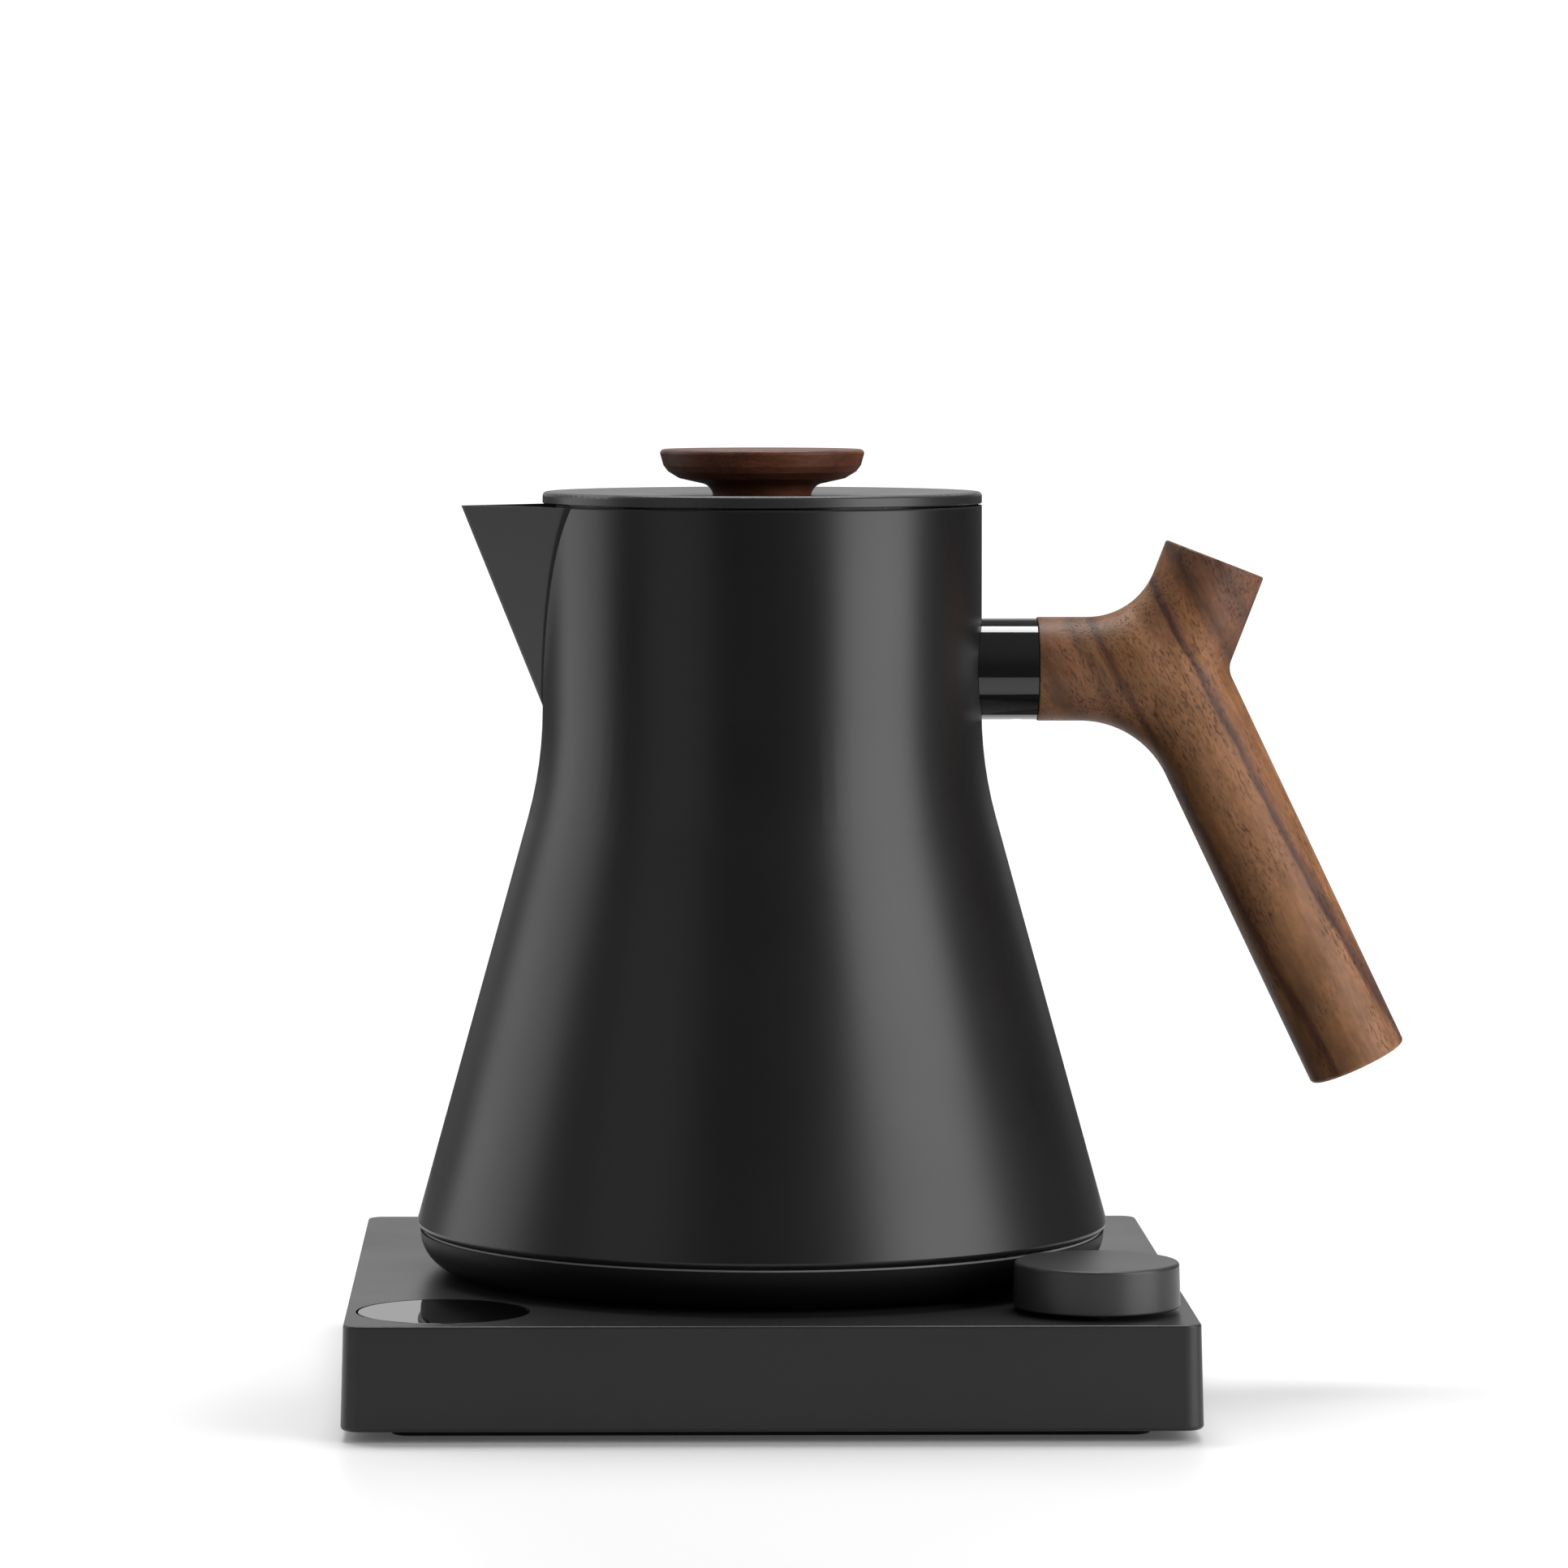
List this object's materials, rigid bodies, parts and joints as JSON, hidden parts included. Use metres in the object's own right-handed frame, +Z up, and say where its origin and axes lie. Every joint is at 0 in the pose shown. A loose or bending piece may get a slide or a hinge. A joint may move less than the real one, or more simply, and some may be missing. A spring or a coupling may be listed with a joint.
{
  "type": "electric pour-over kettle",
  "caption": "Electric pour-over kettle with a cone body, V spout, lift-off lid and forked wooden handle, on a square electric base with a dial and a round display.",
  "frame": {"origin": "centre of the foot ring's underside, on the kettle's axis", "axes": "+Z up along the kettle's axis, +X towards the handle, -X towards the spout, -Y towards the side with dial and display"},
  "size_m": [0.2206, 0.1731, 0.1953],
  "materials": {
    "base_satin": "satin black, fine texture",
    "base_under": "plain black moulding",
    "foot_rubber": "matte silicone rubber",
    "dial_satin": "satin black",
    "switch_black": "matte black",
    "lens_gloss": "high gloss black",
    "powder_black": "matte black powder coat",
    "lid_black": "satin black coating",
    "collar_gloss": "gloss black",
    "walnut": "satin oiled walnut",
    "dark_walnut": "dark oiled walnut",
    "pan_black": "matte black",
    "stainless": "brushed",
    "seal_silicone": "translucent grey silicone",
    "screw_steel": "zinc plated",
    "aluminium": "cast",
    "contact_brass": "plated",
    "board_green": "solder mask",
    "component_black": "moulded"
  },
  "bodies": {
    "base": {"base_housing": "base_satin", "base_cover": "base_under", "foot_ring": "foot_rubber", "cover_screws": "screw_steel", "connector_post": "base_under", "post_contacts": "contact_brass", "post_screws": "screw_steel", "control_board": "board_green", "display_board": "board_green", "encoder_board": "board_green", "board_screws": "screw_steel", "power_relay": "component_black", "supply_transformer": "component_black", "processor": "component_black", "capacitors": "component_black", "buzzer": "component_black", "display_lens": "lens_gloss", "display_module": "component_black", "encoder_body": "base_under", "switch_bodies": "base_under", "cord_gland": "foot_rubber", "cord_clamp": "base_under", "clamp_screws": "screw_steel"},
    "dial_plunger": {"encoder_plunger": "component_black"},
    "dial": {"dial": "dial_satin", "encoder_shaft": "stainless"},
    "hold_switch": {"hold_switch": "switch_black"},
    "unit_switch": {"unit_switch": "switch_black"},
    "connector": {"kettle_connector": "base_under", "connector_pin": "contact_brass", "connector_rings": "contact_brass"},
    "kettle": {"body_shell": "powder_black", "spout": "powder_black", "heater_plate": "stainless", "heat_spreader": "aluminium", "heating_element": "aluminium", "element_terminals": "contact_brass", "thermal_cutouts": "component_black", "temperature_probe": "stainless", "probe_seal": "seal_silicone", "bottom_pan": "pan_black", "pan_seal": "seal_silicone", "pan_screws": "screw_steel", "handle_stud": "stainless", "handle_collar": "collar_gloss", "collar_screw": "screw_steel", "handle_insert": "contact_brass", "handle": "walnut"},
    "lid": {"lid_top": "lid_black", "lid_plug": "stainless", "lid_gasket": "seal_silicone", "knob_washer": "screw_steel", "lid_knob": "dark_walnut", "knob_insert": "contact_brass", "knob_screw": "screw_steel"}
  },
  "joints": [
    {"name": "kettle_lift", "type": "slide", "parent": "base", "child": "connector", "axis": [0, 0, 1], "range_m": [0, 0.12]},
    {"name": "kettle_swivel", "type": "hinge", "parent": "connector", "child": "kettle", "pos_m": [0, 0, 0], "axis": [0, 0, 1], "continuous": true},
    {"name": "lid_lift", "type": "slide", "parent": "kettle", "child": "lid", "axis": [0, 0, 1], "range_m": [0, 0.06]},
    {"name": "dial_press", "type": "slide", "parent": "base", "child": "dial_plunger", "axis": [0, 0, -1], "range_m": [0, 0.0005], "stiffness_N_per_m": 4000, "springref_m": -0.0005},
    {"name": "dial_turn", "type": "hinge", "parent": "dial_plunger", "child": "dial", "pos_m": [0.0657, -0.0637, 0.03], "axis": [0, 0, 1], "continuous": true},
    {"name": "hold_switch_slide", "type": "slide", "parent": "base", "child": "hold_switch", "axis": [1, 0, 0], "range_m": [0, 0.003]},
    {"name": "unit_switch_slide", "type": "slide", "parent": "base", "child": "unit_switch", "axis": [1, 0, 0], "range_m": [0, 0.003]}
  ]
}
